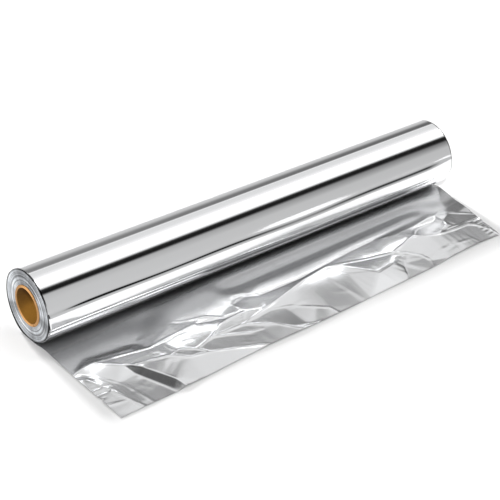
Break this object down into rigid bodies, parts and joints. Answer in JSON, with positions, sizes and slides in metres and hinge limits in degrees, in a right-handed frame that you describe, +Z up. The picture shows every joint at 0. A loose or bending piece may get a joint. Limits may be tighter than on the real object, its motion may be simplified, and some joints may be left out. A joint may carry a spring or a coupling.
{
  "type": "aluminium foil roll",
  "caption": "Roll of aluminium foil wound on a cardboard core, lying on a surface with its creased free end pulled out from under it.",
  "frame": {"origin": "middle of the cardboard core's axis, halfway along the roll", "axes": "+X along the roll's axis towards its far end, +Z up, with the free end pulled out towards -Y"},
  "size_m": [0.451, 0.1617, 0.0633],
  "materials": {
    "foil": "bright rolled",
    "cardboard": "uncoated kraft paper"
  },
  "bodies": {
    "root": {"cardboard_core": "cardboard", "foil": "foil"}
  },
  "joints": []
}
